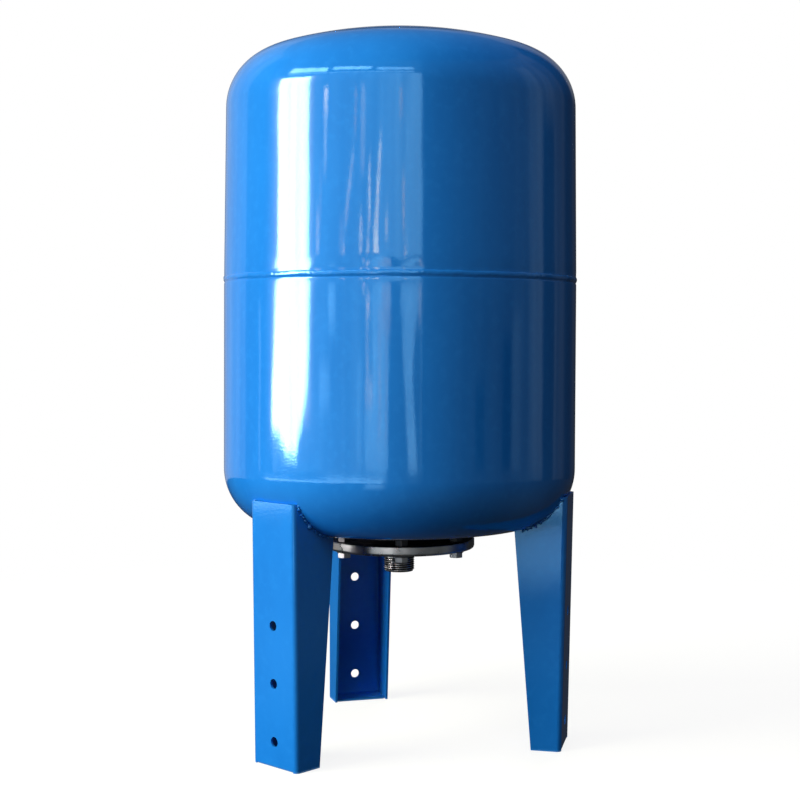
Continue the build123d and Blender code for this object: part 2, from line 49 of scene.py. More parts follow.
# Sizes of the part, as its source gives them or works them out, in millimetres
TANK_R = 190.0
SHELL_SHEET = 1.5
SEAM_Z = 490.0
SEAM_BAND = 9.0
UPPER_TANGENT_Z = 675.3
UPPER_SIDE_R = 188.8
LOWER_TANGENT_Z = 289.5
LOWER_SIDE_R = 189.2
KNUCKLE_R = 62.5
TOP_CROWN_R = 471.0
BOTTOM_CROWN_R = 1000.0
LAP_R = 188.4
LAP_LENGTH = 12.0
JOGGLE_HEIGHT = 4.0
NECK_R = 56.0
NECK_FILLET = 3.0
FLANGE_LOW = 202.461
FLANGE_TOP = 205.461
LIP_TOP = 208.461
THREAD_R = 16.62
THREAD_CHAMFER = 1.8
CONNECTOR_BORE_R = 13.25
CONNECTOR_BODY_R = 17.3
CONNECTOR_SHOULDER_Z = 196.461
CONNECTOR_MOUTH_Z = 176.461
CONNECTOR_BEAD = 3.4
LEG_ANGLES = {"front": 270.0, "right": 30.0, "left": 150.0}
LEG_HALF_WIDTH = 32.0
LEG_TOP_Z = 264.0
LEG_BEAD_INNER = 142.7
VALVE_ANGLE = 150.0
VALVE_FROM_AXIS = 80.0
BOSS_R = 12.5
BOSS_BEAD = 2.6

# Sizes of the finer form that is made here, in millimetres
# Radius within which the lower cup takes the flat black, as painted shade round the neck
NECK_SHADE_R = 62.0
DENT_LOW = 4.0
DENT_HIGH = 8.5
DENT_LEAST = 0.04
DENT_SWING = 0.1
DENT_SPACING = 9.0
GIRTH_HALF = 2.5
SEAM_BULGE = 1.05
GIRTH_RISE = 1.1
GIRTH_WANDER = 0.75
SMALL_DROP = (1.3, 2.2)
LARGE_DROP = (2.4, 3.5)
LARGE_DROP_SHARE = 0.2
TOP_DROP_BELOW = 1.2
DROP_VOXEL = 0.6
LEG_ROUND = 0.5
THREAD_DEPTH = 1.48
THREAD_PITCH = 2.309
THREAD_TURNS = 10
RIDGE_SINK = 0.35
RIDGE_ROUND = 0.14
RIDGE_ROOT_HALF = 1.1
RIDGE_FOOT_HALF = 0.98
RIDGE_TOP_HALF = 0.24
RIDGE_CREST_HALF = 0.1
BORE_CHAMFER = 0.8
BEAD_LUMPS = 0.45

# How finely it is divided: steps in a turn or an arc, runs in a straight line, drops in a weld
CUP_STEPS = 288
BAND_RUNS = 6
SIDE_RUNS = 14
TOP_STEPS = 22
BOTTOM_STEPS = 26
NECK_STEPS = 8
GIRTH_STEPS = 900
GIRTH_ARC_STEPS = 10
DROP_SPACES = 23
NIPPLE_STEPS = 96
NIPPLE_BEAD_STEPS = 180
THREAD_STEPS = 72
BOSS_BEAD_STEPS = 160

# Points nearer than this are one point: in new pieces in millimetres, in CAD copies in metres
MERGE = 0.0005
NODE_MERGE = 0.000004

# Faces of a CAD copy that turn by less than this many degrees are one face
FLAT_WITHIN = 0.6


# Building pieces

def fade(value, width):
    """A soft step: 0 well below zero, 1 well above it."""
    t = min(1.0, max(0.0, value / width + 0.5))
    return t * t * (3 - 2 * t)


def draw_outline(bm, start, moves):
    """A chain of edges in the XZ plane: runs to a point, or arcs of so many degrees round a centre."""
    first = bm.verts.new((start[0], 0, start[1]))
    last = first
    for move in moves:
        if len(move) == 2:
            vert = bm.verts.new((move[0], 0, move[1]))
            bm.edges.new((last, vert))
            last = vert
        else:
            centre_r, centre_z, turn, steps = move
            arc = bmesh.ops.spin(
                bm,
                geom=[last],
                cent=(centre_r, 0, centre_z),
                axis=(0, -1, 0),
                angle=radians(turn),
                steps=steps,
            )
            last = [v for v in arc["geom_last"] if isinstance(v, bmesh.types.BMVert)][0]
    return first, last


def turn_solid(bm, steps):
    """Turns what is drawn in the XZ plane once round Z and closes it."""
    bmesh.ops.spin(
        bm,
        geom=bm.verts[:] + bm.edges[:],
        cent=(0, 0, 0),
        axis=(0, 0, 1),
        angle=2 * pi,
        steps=steps,
        use_merge=True,
    )
    bmesh.ops.remove_doubles(bm, verts=bm.verts, dist=MERGE)
    bmesh.ops.recalc_face_normals(bm, faces=bm.faces)


def shade(bm, sharp_over):
    """Smooth faces, with a crease wherever two meet at more than so many degrees."""
    for face in bm.faces:
        face.smooth = True
    for edge in bm.edges:
        sharp = edge.is_manifold and edge.calc_face_angle(0) > radians(sharp_over)
        edge.smooth = not sharp


def add_piece(name, bm, nodes, body, material, sharp_over=32, scale=MM):
    """Makes the mesh a piece that stands for CAD nodes and moves with their body."""
    bmesh.ops.scale(bm, vec=(scale, scale, scale), verts=bm.verts)
    shade(bm, sharp_over)
    mesh = bpy.data.meshes.new(name)
    bm.to_mesh(mesh)
    bm.free()
    mesh.materials.append(material)
    piece = bpy.data.objects.new(name, mesh)
    bpy.context.scene.collection.objects.link(piece)
    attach(piece, body)
    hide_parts(*nodes)
    return piece


def node_copy(node):
    """A merged copy of a CAD node's mesh, in metres."""
    bm = bmesh.new()
    bm.from_mesh(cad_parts[node].data)
    bmesh.ops.remove_doubles(bm, verts=bm.verts, dist=NODE_MERGE)
    bmesh.ops.dissolve_degenerate(bm, dist=NODE_MERGE / 2, edges=bm.edges)
    bmesh.ops.dissolve_limit(
        bm, angle_limit=radians(FLAT_WITHIN), verts=bm.verts, edges=bm.edges, delimit=set()
    )
    return bm


def swing(spot, layer, size):
    """A smooth random value between -1 and 1 at a place, over so many millimetres."""
    return noise.noise(Vector((spot.x, spot.y, layer)) / size)


def round_edges(bm, width, over=40):
    """Takes the sharp corners off, as plating, paint and handling do."""
    edges = [e for e in bm.edges if e.is_manifold and e.calc_face_angle(0) > radians(over)]
    bmesh.ops.bevel(
        bm,
        geom=edges,
        offset=width,
        offset_type="OFFSET",
        affect="EDGES",
        segments=2,
        profile=0.5,
        material=-1,
        clamp_overlap=True,
    )


def finish_copy(name, node, body, slot, material, width):
    """A CAD node's own shape as a piece, with edges rounded by a width in metres."""
    bm = node_copy(node)
    round_edges(bm, width)
    piece = add_piece(name, bm, [node], body, material, sharp_over=50, scale=1.0)
    flat = piece.modifiers.new("flat_faces", "WEIGHTED_NORMAL")
    flat.keep_sharp = True
    flat.weight = 80


# Nodes that both finishes and light use

def remap(tree, value, low, high, to_low, to_high):
    """Turns one range of an output into another."""
    node = tree.nodes.new("ShaderNodeMapRange")
    node.inputs["From Min"].default_value = low
    node.inputs["From Max"].default_value = high
    node.inputs["To Min"].default_value = to_low
    node.inputs["To Max"].default_value = to_high
    tree.links.new(value, node.inputs["Value"])
    return node.outputs["Result"]


def vector_length(tree, vector):
    node = tree.nodes.new("ShaderNodeVectorMath")
    node.operation = "LENGTH"
    tree.links.new(vector, node.inputs[0])
    return node.outputs["Value"]


def calculate(tree, operation, *values):
    """One calculation on plain numbers and outputs."""
    node = tree.nodes.new("ShaderNodeMath")
    node.operation = operation
    for socket, value in zip(node.inputs, values):
        if isinstance(value, float):
            socket.default_value = value
        else:
            tree.links.new(value, socket)
    return node.outputs[0]


# Finishes

class Finish:
    """A material's shader with short ways to add textures on Object coordinates."""

    def __init__(self, name, colour, roughness, metallic=0.0):
        self.material = bpy.data.materials.new(name)
        self.material.use_nodes = True
        self.tree = self.material.node_tree
        self.nodes = self.tree.nodes
        self.links = self.tree.links
        self.shader = self.nodes["Principled BSDF"]
        self.coordinates = self.nodes.new("ShaderNodeTexCoord")
        self.normal = None
        self.set("Base Color", (*colour, 1))
        self.set("Roughness", roughness)
        self.set("Metallic", metallic)

    def set(self, socket, value):
        self.shader.inputs[socket].default_value = value

    def placed(self, stretch):
        mapping = self.nodes.new("ShaderNodeMapping")
        mapping.inputs["Scale"].default_value = stretch
        self.links.new(self.coordinates.outputs["Object"], mapping.inputs["Vector"])
        return mapping.outputs["Vector"]

    def noise(self, size_mm, detail=2.0, stretch=(1, 1, 1), rough=0.5):
        texture = self.nodes.new("ShaderNodeTexNoise")
        texture.inputs["Scale"].default_value = 1 / (size_mm * MM)
        texture.inputs["Detail"].default_value = detail
        texture.inputs["Roughness"].default_value = rough
        self.links.new(self.placed(stretch), texture.inputs["Vector"])
        return texture.outputs["Fac"]

    def from_axis(self):
        """Distance from the tank's upright axis, in metres."""
        return vector_length(self.tree, self.placed((1, 1, 0)))

    def share(self, texture, low, high, most=1):
        """How far a texture has come from low to high: 0 to the most given."""
        return remap(self.tree, texture, low, high, 0, most)

    def blend(self, factor, first, second):
        """Mixes two colours, each plain or the output of an earlier mix."""
        node = self.nodes.new("ShaderNodeMix")
        node.data_type = "RGBA"
        self.links.new(factor, node.inputs[0])
        for socket, colour in ((node.inputs[6], first), (node.inputs[7], second)):
            if isinstance(colour, tuple):
                socket.default_value = (*colour, 1)
            else:
                self.links.new(colour, socket)
        return node.outputs[2]

    def colour(self, output):
        self.links.new(output, self.shader.inputs["Base Color"])

    def roughness(self, texture, low, high, least, most):
        """Roughness from least to most as a texture goes from low to high."""
        level = remap(self.tree, texture, low, high, least, most)
        self.links.new(level, self.shader.inputs["Roughness"])

    def bump(self, height, depth_mm):
        """Adds one layer of relief over those already there."""
        node = self.nodes.new("ShaderNodeBump")
        node.inputs["Distance"].default_value = depth_mm * MM
        node.inputs["Strength"].default_value = 1.0
        self.links.new(height, node.inputs["Height"])
        if self.normal is not None:
            self.links.new(self.normal, node.inputs["Normal"])
        self.normal = node.outputs["Normal"]
        self.links.new(self.normal, self.shader.inputs["Normal"])


# Blue enamel as it lies, where it is thick and where it is thin, and the tint of its gloss
BLUE = (0.01, 0.188, 0.69)
BLUE_THICK = (0.008, 0.166, 0.63)
BLUE_THIN = (0.014, 0.205, 0.72)
GLOSS_TINT = (0.2, 0.62, 1.0, 1)


def enamel(name, peel_mm=3.2, peel_depth=0.014, wave_depth=0.2, pits=0.0):
    """Sprayed blue enamel: deep gloss, slight orange peel and the drawn sheet's slow waves under it."""
    finish = Finish(name, BLUE, 0.06)
    finish.set("Specular Tint", GLOSS_TINT)
    finish.set("IOR", 1.52)
    finish.set("Specular IOR Level", 1.0)
    finish.set("Coat Weight", 0.15)
    finish.set("Coat Roughness", 0.02)
    coverage = finish.share(finish.noise(60, detail=3.0, stretch=(1, 1, 0.4)), 0.35, 0.65)
    speckle = finish.share(finish.noise(9), 0.5, 0.75, most=0.5)
    base = finish.blend(coverage, BLUE_THICK, BLUE)
    finish.colour(finish.blend(speckle, base, BLUE_THIN))
    haze = finish.noise(35, detail=4.0, stretch=(1, 1, 0.5))
    finish.roughness(haze, 0.35, 0.7, 0.04, 0.09)
    if wave_depth:
        finish.bump(finish.noise(38, detail=1.0, stretch=(1, 1, 0.4)), wave_depth)
    finish.bump(finish.noise(peel_mm, detail=1.5), peel_depth)
    finish.bump(finish.noise(2.0, detail=1.0), 0.024)
    if pits:
        finish.bump(finish.noise(1.6, detail=3.0, rough=0.7), pits)
    return finish.material


def painted_shade_black():
    """Flat black paint, put on the neck, its weld and the clamp ring as painted shade for the dark gap over
    the flange.
    """
    finish = Finish("painted_shade_black", (0.012, 0.012, 0.013), 0.5)
    finish.set("Specular IOR Level", 0.25)
    dust = finish.noise(7, detail=3.0)
    cover = finish.share(dust, 0.45, 0.7)
    finish.colour(finish.blend(cover, (0.01, 0.01, 0.011), (0.022, 0.021, 0.02)))
    finish.roughness(dust, 0.3, 0.7, 0.42, 0.6)
    finish.bump(finish.noise(1.1), 0.01)
    return finish.material


def zinc_plate(name, bright, dark, low, high):
    """Zinc plating with cloudy passivation and fine press marks, its roughness from low to high."""
    finish = Finish(name, bright, low, metallic=1.0)
    clouds = finish.noise(14, detail=3.0)
    base = finish.blend(finish.share(clouds, 0.35, 0.65), dark, bright)
    spots = finish.share(finish.noise(3), 0.55, 0.75, most=0.4)
    finish.colour(finish.blend(spots, base, dark))
    finish.roughness(clouds, 0.3, 0.7, low, high)
    finish.bump(finish.noise(2.2, detail=3.0), 0.004)
    finish.bump(finish.noise(25, detail=1.0), 0.06)
    return finish.material


def turned_steel():
    """Bare machined steel with fine turning rings, and painted shade darkening the bottom of the thread."""
    finish = Finish("turned_steel", (0.6, 0.6, 0.59), 0.18, metallic=1.0)
    stains = finish.share(finish.noise(6, detail=3.0), 0.4, 0.7)
    metal = finish.blend(stains, (0.88, 0.92, 0.95), (0.68, 0.71, 0.73))
    # Painted shade: the colour goes near black towards the thread's core, as shade in the grooves would
    # look
    painted_groove_shade = finish.share(finish.from_axis(), (THREAD_R - 1.0) * MM, (THREAD_R - 0.25) * MM)
    finish.colour(finish.blend(painted_groove_shade, (0.03, 0.03, 0.03), metal))
    rings = finish.noise(0.9, detail=1.0, stretch=(0.05, 0.05, 1))
    finish.roughness(rings, 0.35, 0.65, 0.2, 0.34)
    finish.bump(rings, 0.004)
    return finish.material


def black_rubber():
    """Moulded black rubber with a faint grey bloom."""
    finish = Finish("black_rubber", (0.018, 0.018, 0.02), 0.62)
    bloom = finish.noise(12, detail=4.0)
    cover = finish.share(bloom, 0.45, 0.7)
    finish.colour(finish.blend(cover, (0.016, 0.016, 0.018), (0.035, 0.034, 0.034)))
    finish.roughness(bloom, 0.3, 0.7, 0.5, 0.72)
    finish.bump(finish.noise(1.2, detail=3.0), 0.02)
    return finish.material


def valve_brass():
    """Turned brass, tarnished in patches."""
    finish = Finish("valve_brass", (0.72, 0.52, 0.24), 0.24, metallic=1.0)
    tarnish = finish.noise(5, detail=3.0)
    cover = finish.share(tarnish, 0.4, 0.7)
    finish.colour(finish.blend(cover, (0.76, 0.56, 0.27), (0.5, 0.34, 0.15)))
    finish.roughness(tarnish, 0.3, 0.7, 0.18, 0.36)
    finish.bump(finish.noise(0.6), 0.004)
    return finish.material


def cap_plastic():
    """Moulded black plastic with a fine grain."""
    finish = Finish("cap_plastic", (0.028, 0.028, 0.03), 0.42)
    grain = finish.noise(0.8, detail=3.0)
    cover = finish.share(grain, 0.4, 0.7)
    finish.colour(finish.blend(cover, (0.024, 0.024, 0.026), (0.045, 0.045, 0.046)))
    finish.roughness(grain, 0.3, 0.7, 0.34, 0.5)
    finish.bump(grain, 0.012)
    return finish.material


# Tank

def crown_centre(side_r, tangent_z, crown_r, up):
    """Height of a dished end's crown centre, and the angle at which its knuckle runs into the crown."""
    knuckle_x = side_r - KNUCKLE_R
    reach = crown_r - KNUCKLE_R
    return tangent_z - up * sqrt(reach**2 - knuckle_x**2), degrees(acos(knuckle_x / reach))


TOP_CENTRE_Z, TOP_TURN = crown_centre(UPPER_SIDE_R, UPPER_TANGENT_Z, TOP_CROWN_R, 1)
BOTTOM_CENTRE_Z, BOTTOM_TURN = crown_centre(LOWER_SIDE_R, LOWER_TANGENT_Z, BOTTOM_CROWN_R, -1)


def straight(start, stop, runs):
    """Points along a straight line after its start, so that smooth shading stays true beside a curve."""
    return [
        (start[0] + (stop[0] - start[0]) * k / runs, start[1] + (stop[1] - start[1]) * k / runs)
        for k in range(1, runs + 1)
    ]


def draw_upper(bm, inset):
    """Half section of the upper cup's outer skin, or of one that lies so far inside it."""
    knuckle_x = UPPER_SIDE_R - KNUCKLE_R
    band_foot = (TANK_R - inset, SEAM_Z)
    band_top = (TANK_R - inset, SEAM_Z + SEAM_BAND)
    return draw_outline(
        bm,
        band_foot,
        [
            *straight(band_foot, band_top, BAND_RUNS),
            *straight(band_top, (UPPER_SIDE_R - inset, UPPER_TANGENT_Z), SIDE_RUNS),
            (knuckle_x, UPPER_TANGENT_Z, TOP_TURN, TOP_STEPS),
            (0, TOP_CENTRE_Z, 90 - TOP_TURN, TOP_STEPS),
        ],
    )


def make_upper_cup(paint):
    """The upper cup, with slight dents in its sheet just above the weld."""
    bm = bmesh.new()
    outside, _ = draw_upper(bm, 0)
    inside, _ = draw_upper(bm, SHELL_SHEET)
    bm.edges.new((outside, inside))
    turn_solid(bm, CUP_STEPS)
    for vert in bm.verts:
        if DENT_LOW < vert.co.z - SEAM_Z < DENT_HIGH:
            dent = DENT_LEAST + DENT_SWING * fade(swing(vert.co, 0, DENT_SPACING), 0.5)
            vert.co.x *= 1 - dent / TANK_R
            vert.co.y *= 1 - dent / TANK_R
    add_piece("upper_cup", bm, ["upper_shell"], "tank", paint)


def draw_lower(bm, inset):
    """Half section of the lower cup's outer skin, or of one that lies so far inside it."""
    knuckle_x = LOWER_SIDE_R - KNUCKLE_R
    neck_x = NECK_R + NECK_FILLET
    neck_reach = BOTTOM_CROWN_R + NECK_FILLET
    neck_z = BOTTOM_CENTRE_Z - sqrt(neck_reach**2 - neck_x**2)
    crown_stop = degrees(asin(neck_x / neck_reach))
    band_foot = (TANK_R - inset, SEAM_Z - SEAM_BAND)
    return draw_outline(
        bm,
        (LAP_R - inset, SEAM_Z + LAP_LENGTH),
        [
            (LAP_R - inset, SEAM_Z),
            (TANK_R - inset - 0.02, SEAM_Z - JOGGLE_HEIGHT),
            (TANK_R - inset, SEAM_Z - JOGGLE_HEIGHT - 0.5),
            band_foot,
            *straight(band_foot, (LOWER_SIDE_R - inset, LOWER_TANGENT_Z), SIDE_RUNS),
            (knuckle_x, LOWER_TANGENT_Z, -BOTTOM_TURN, BOTTOM_STEPS),
            (0, BOTTOM_CENTRE_Z, BOTTOM_TURN + crown_stop - 90, NECK_STEPS),
            (neck_x, neck_z, 90 - crown_stop, NECK_STEPS),
            (NECK_R - inset, LIP_TOP),
        ],
    )


def make_lower_cup(paint, shade_black_paint):
    """The lower cup with its lap and neck, in flat black from the neck to a little way up the dome as
    painted shade.
    """
    bm = bmesh.new()
    outside_start, outside_end = draw_lower(bm, 0)
    inside_start, inside_end = draw_lower(bm, SHELL_SHEET)
    bm.edges.new((outside_start, inside_start))
    bm.edges.new((outside_end, inside_end))
    turn_solid(bm, CUP_STEPS)
    cup = add_piece("lower_cup", bm, ["lower_shell"], "tank", paint)
    cup.data.materials.append(shade_black_paint)
    # Faces near the neck take the flat black as painted shade
    for face in cup.data.polygons:
        if face.center.xy.length < NECK_SHADE_R * MM:
            face.material_index = 1


def make_girth_bead(paint):
    """The weld round the tank, with its ripples and a slightly wandering edge."""
    bm = bmesh.new()
    radius = (GIRTH_HALF**2 + SEAM_BULGE**2) / (2 * SEAM_BULGE)
    middle_z = SEAM_Z + GIRTH_RISE
    half_turn = degrees(asin(GIRTH_HALF / radius))
    first, last = draw_outline(
        bm,
        (TANK_R - 1.2, middle_z + GIRTH_HALF + 0.5),
        [
            (TANK_R, middle_z + GIRTH_HALF),
            (TANK_R + SEAM_BULGE - radius, middle_z, -2 * half_turn, GIRTH_ARC_STEPS),
            (TANK_R - 0.45, SEAM_Z - 2.7),
            (TANK_R - 0.5, SEAM_Z - 3.6),
            (TANK_R - 1.8, SEAM_Z - 4.6),
        ],
    )
    bm.edges.new((last, first))
    turn_solid(bm, GIRTH_STEPS)
    for vert in bm.verts:
        spot = vert.co.copy()
        radial = Vector((spot.x, spot.y, 0)).normalized()
        out = sqrt(spot.x**2 + spot.y**2) - TANK_R
        ripple = 0.5 + 0.5 * swing(spot, spot.z * 0.5, 2.6)
        swell = 0.5 + 0.5 * swing(spot, 7.0, 21)
        wander = swing(spot, 40.0, 17) + 0.5 * swing(spot, 90.0, 5)
        vert.co.z += GIRTH_WANDER * wander
        if out > 0.01:
            vert.co -= radial * out * (0.62 - 0.4 * ripple - 0.22 * swell)
    add_piece("girth_bead", bm, ["girth_weld"], "tank", paint, sharp_over=80)


# Legs

def leg_bead_spots(side):
    """Points along the line where a leg's side wall meets the dished end, from the inside out."""
    knuckle_x = LOWER_SIDE_R - KNUCKLE_R
    first = acos((LEG_BEAD_INNER - knuckle_x) / KNUCKLE_R)
    last = asin((LOWER_TANGENT_Z - LEG_TOP_Z + TOP_DROP_BELOW) / KNUCKLE_R)
    for k in range(DROP_SPACES + 1):
        turn = first + (last - first) * k / DROP_SPACES
        r = knuckle_x + KNUCKLE_R * cos(turn)
        z = LOWER_TANGENT_Z - KNUCKLE_R * sin(turn)
        yield Vector((sqrt(r**2 - LEG_HALF_WIDTH**2), side * LEG_HALF_WIDTH, z)), turn


def lay_drops(bm):
    """Overlapping weld drops along both side walls of each leg, by chance large, stretched or astray."""
    dice = random.Random(11)
    for angle in LEG_ANGLES.values():
        stand = Matrix.Rotation(radians(angle), 4, "Z")
        for side in (-1, 1):
            for spot, turn in leg_bead_spots(side):
                radii = LARGE_DROP if dice.random() < LARGE_DROP_SHARE else SMALL_DROP
                size = dice.uniform(*radii)
                drop = spot + Vector((dice.uniform(-0.8, 0.8), side * dice.uniform(-0.4, 0.9), 0))
                drop.z -= dice.uniform(-0.4, 1.3)
                shape = Matrix.Diagonal((size, size * dice.uniform(0.8, 1.0), size * 0.85, 1))
                place = stand @ Matrix.Translation(drop) @ Matrix.Rotation(turn, 4, "Y") @ shape
                bmesh.ops.create_icosphere(bm, subdivisions=2, radius=1.0, matrix=place)


def fuse_drops(bm):
    """Runs the drops together into one skin."""
    rough = bpy.data.meshes.new("leg_bead_drops")
    bm.to_mesh(rough)
    bm.free()
    holder = bpy.data.objects.new("leg_bead_drops", rough)
    bpy.context.scene.collection.objects.link(holder)
    fuse = holder.modifiers.new("fuse", "REMESH")
    fuse.mode = "VOXEL"
    fuse.voxel_size = DROP_VOXEL * MM
    graph = bpy.context.evaluated_depsgraph_get()
    fused = bpy.data.meshes.new_from_object(holder.evaluated_get(graph))
    bpy.data.objects.remove(holder)
    skin = bmesh.new()
    skin.from_mesh(fused)
    return skin


def make_leg_beads(paint):
    """Hand laid weld beads, built of overlapping drops and fused."""
    drops = bmesh.new()
    lay_drops(drops)
    bmesh.ops.scale(drops, vec=(MM, MM, MM), verts=drops.verts)
    bm = fuse_drops(drops)
    bmesh.ops.smooth_vert(
        bm, verts=bm.verts, factor=0.5, use_axis_x=True, use_axis_y=True, use_axis_z=True
    )
    add_piece(
        "leg_beads", bm, ["leg_welds"], "tank", paint, sharp_over=80, scale=1.0
    )


def make_legs(paint):
    for side in LEG_ANGLES:
        finish_copy(f"{side}_leg", f"leg_{side}", "tank", "blue_enamel", paint, LEG_ROUND * MM)


# Water connection

def make_water_nipple(steel):
    """The threaded nipple: a bored body with one thread ridge wound round it."""
    core_r = THREAD_R - THREAD_DEPTH
    bm = bmesh.new()
    first, last = draw_outline(
        bm,
        (CONNECTOR_BORE_R + BORE_CHAMFER, CONNECTOR_MOUTH_Z),
        [
            (THREAD_R - THREAD_CHAMFER, CONNECTOR_MOUTH_Z),
            (core_r, CONNECTOR_MOUTH_Z + core_r - THREAD_R + THREAD_CHAMFER),
            (core_r, CONNECTOR_SHOULDER_Z - 0.3),
            (core_r + 0.3, CONNECTOR_SHOULDER_Z),
            (CONNECTOR_BODY_R - 0.4, CONNECTOR_SHOULDER_Z),
            (CONNECTOR_BODY_R, CONNECTOR_SHOULDER_Z + 0.4),
            (CONNECTOR_BODY_R, FLANGE_TOP),
            (CONNECTOR_BORE_R, FLANGE_TOP),
            (CONNECTOR_BORE_R, CONNECTOR_MOUTH_Z + BORE_CHAMFER),
        ],
    )
    bm.edges.new((last, first))
    turn_solid(bm, NIPPLE_STEPS)
    wind_thread(bm, core_r)
    add_piece(
        "water_nipple", bm, ["water_connector"], "tank", steel, sharp_over=40
    )


def wind_thread(target, core_r):
    """Adds one pipe thread ridge, wound from below the mouth to above the shoulder and trimmed."""
    bm = bmesh.new()
    low = CONNECTOR_MOUTH_Z - THREAD_PITCH
    root = core_r - RIDGE_SINK
    flank_foot = core_r + 0.02
    flank_top = THREAD_R - RIDGE_ROUND
    first, last = draw_outline(
        bm,
        (root, low - RIDGE_ROOT_HALF),
        [
            (flank_foot, low - RIDGE_FOOT_HALF),
            (flank_top, low - RIDGE_TOP_HALF),
            (THREAD_R, low - RIDGE_CREST_HALF),
            (THREAD_R, low + RIDGE_CREST_HALF),
            (flank_top, low + RIDGE_TOP_HALF),
            (flank_foot, low + RIDGE_FOOT_HALF),
            (root, low + RIDGE_ROOT_HALF),
        ],
    )
    bm.edges.new((last, first))
    bmesh.ops.contextual_create(bm, geom=bm.edges[:])
    bmesh.ops.spin(
        bm,
        geom=bm.faces[:] + bm.edges[:] + bm.verts[:],
        cent=(0, 0, 0),
        axis=(0, 0, 1),
        dvec=(0, 0, THREAD_PITCH / THREAD_STEPS),
        angle=2 * pi * THREAD_TURNS,
        steps=THREAD_STEPS * THREAD_TURNS,
        use_duplicate=False,
    )
    bmesh.ops.remove_doubles(bm, verts=bm.verts, dist=MERGE)
    trim_thread(bm)
    bmesh.ops.recalc_face_normals(bm, faces=bm.faces)
    wound = bpy.data.meshes.new("thread_ridge")
    bm.to_mesh(wound)
    bm.free()
    target.from_mesh(wound)
    bpy.data.meshes.remove(wound)


def trim_thread(bm):
    """Cuts the ridge off at both ends, closes it there, and chamfers it at the mouth."""
    trims = (
        (CONNECTOR_MOUTH_Z + 0.2, (0, 0, -1)),
        (CONNECTOR_SHOULDER_Z - 0.9, (0, 0, 1)),
    )
    for height, away in trims:
        bmesh.ops.bisect_plane(
            bm,
            geom=bm.verts[:] + bm.edges[:] + bm.faces[:],
            dist=MERGE,
            plane_co=(0, 0, height),
            plane_no=away,
            clear_outer=True,
        )
        open_edges = [e for e in bm.edges if e.is_boundary]
        bmesh.ops.holes_fill(bm, edges=open_edges, sides=0)
    for vert in bm.verts:
        reach = sqrt(vert.co.x**2 + vert.co.y**2)
        limit = THREAD_R - max(0.0, THREAD_CHAMFER - vert.co.z + CONNECTOR_MOUTH_Z)
        if reach > limit:
            vert.co.x *= limit / reach
            vert.co.y *= limit / reach


def roughen(bm, low_r, size):
    """Moves a bead's points outside a radius in and out a little, in lumps of a size."""
    for vert in bm.verts:
        reach = sqrt(vert.co.x**2 + vert.co.y**2)
        if reach > low_r:
            push = BEAD_LUMPS * noise.noise(vert.co / size)
            vert.co.x += push * vert.co.x / reach
            vert.co.y += push * vert.co.y / reach


def make_nipple_bead(metal):
    """The fillet weld round the nipple, under the flange."""
    bm = bmesh.new()
    reach = CONNECTOR_BEAD - 0.3
    first, last = draw_outline(
        bm,
        (CONNECTOR_BODY_R - 0.6, FLANGE_LOW + 0.4),
        [
            (CONNECTOR_BODY_R + reach, FLANGE_LOW + 0.2),
            (CONNECTOR_BODY_R + 0.6 * reach, FLANGE_LOW - 0.6 * reach),
            (CONNECTOR_BODY_R, FLANGE_LOW - reach),
            (CONNECTOR_BODY_R - 0.6, FLANGE_LOW - reach),
        ],
    )
    bm.edges.new((last, first))
    turn_solid(bm, NIPPLE_BEAD_STEPS)
    roughen(bm, CONNECTOR_BODY_R + 0.5, 1.7)
    add_piece("nipple_bead", bm, ["connector_weld"], "tank", metal, sharp_over=80)


# Air valve

def square_on_dome():
    """Where a piece built upright at the origin, in millimetres, stands on the top head."""
    tilt = asin(VALVE_FROM_AXIS / TOP_CROWN_R)
    return (
        Matrix.Translation((0, 0, TOP_CENTRE_Z))
        @ Matrix.Rotation(radians(VALVE_ANGLE), 4, "Z")
        @ Matrix.Rotation(tilt, 4, "Y")
        @ Matrix.Translation((0, 0, TOP_CROWN_R))
    )


def make_boss_bead(paint):
    """The fillet weld round the valve's base."""
    bm = bmesh.new()
    first, last = draw_outline(
        bm,
        (BOSS_R - 0.5, -0.9),
        [
            (BOSS_R + BOSS_BEAD - 0.3, -0.7),
            (BOSS_R + BOSS_BEAD - 0.5, 0.1),
            (BOSS_R + 0.55 * BOSS_BEAD, 0.6 * BOSS_BEAD),
            (BOSS_R + 0.2, BOSS_BEAD - 0.2),
            (BOSS_R - 0.5, BOSS_BEAD - 0.3),
        ],
    )
    bm.edges.new((last, first))
    turn_solid(bm, BOSS_BEAD_STEPS)
    roughen(bm, BOSS_R + 0.3, 1.5)
    bm.transform(square_on_dome())
    add_piece("boss_bead", bm, ["boss_weld"], "tank", paint, sharp_over=80)


def make_closing_spring(metal):
    """The valve's spring, copied from its CAD node with a mesh of its own; the real spring shortens towards
    the core's floor as the pin is pressed.
    """
    spring = add_piece(
        "closing_spring",
        node_copy("core_spring"),
        ["core_spring"],
        "tank",
        metal,
        sharp_over=80,
        scale=1.0,
    )
    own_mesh(spring)


# Studio, in metres and degrees

